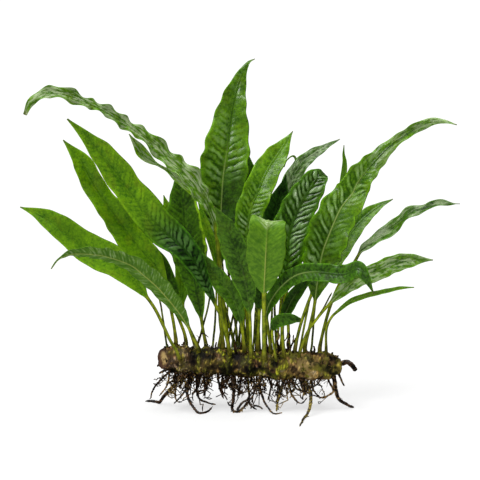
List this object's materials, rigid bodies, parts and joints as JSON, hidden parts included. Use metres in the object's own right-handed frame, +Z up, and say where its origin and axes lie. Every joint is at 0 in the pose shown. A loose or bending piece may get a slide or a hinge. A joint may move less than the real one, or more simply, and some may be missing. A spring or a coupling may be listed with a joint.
{
  "type": "java fern",
  "caption": "Bare java fern: a creeping rhizome with upright and arching strap leaves on top and brown roots below, standing on its root tips.",
  "frame": {"origin": "centre of the plant's box, on the floor that its root tips stand on", "axes": "+X along the rhizome, from its cut left end to its growing right end; +Z up; the side that faces the viewer in the picture is -Y"},
  "size_m": [0.2126, 0.0923, 0.1748],
  "materials": {
    "leaf": "glossy quilted green leaf with a paler midrib",
    "young_leaf": "smooth light green young leaf",
    "rhizome": "lumpy mottled brown and green skin",
    "root": "rough dark brown, matt"
  },
  "bodies": {
    "root": {"leaf_behind_front_light": "leaf", "leaf_behind_tall": "leaf", "leaf_big_right": "leaf", "leaf_blunt_right": "leaf", "leaf_broad_left": "leaf", "leaf_centre_right": "leaf", "leaf_curled_back": "leaf", "leaf_dark_beside_centre": "leaf", "leaf_far_left_wavy": "leaf", "leaf_front_arching_left": "leaf", "leaf_front_arching_right": "leaf", "leaf_front_dark": "leaf", "leaf_front_light": "young_leaf", "leaf_left_behind_broad": "leaf", "leaf_low_centre_left": "leaf", "leaf_low_left": "leaf", "leaf_lowest_right": "leaf", "leaf_middle_left": "leaf", "leaf_narrow_back": "leaf", "leaf_right_behind": "leaf", "leaf_right_lower": "leaf", "leaf_right_wavy": "leaf", "leaf_small_behind_left": "young_leaf", "leaf_small_low": "leaf", "leaf_spoon_tipped": "leaf", "leaf_tall_centre": "leaf", "leaf_thin_upright": "leaf", "leaf_under_arching": "leaf", "leaf_upright_behind": "leaf", "leaf_young_centre_left": "young_leaf", "rhizome": "rhizome", "root_back_centre": "root", "root_back_left": "root", "root_back_right": "root", "root_centre_hook": "root", "root_centre_loop": "root", "root_centre_short": "root", "root_front_long": "root", "root_front_right": "root", "root_front_v": "root", "root_left_arc_inner": "root", "root_left_arc_outer": "root", "root_left_inner": "root", "root_left_loop": "root", "root_left_thick": "root", "root_left_v": "root", "root_mat_centre": "root", "root_mat_centre_left": "root", "root_mat_centre_right": "root", "root_mat_left_inner": "root", "root_mat_left_outer": "root", "root_mat_right_inner": "root", "root_mat_right_outer": "root", "root_right_horn": "root", "root_right_loop": "root", "root_right_thick": "root"}
  },
  "joints": []
}
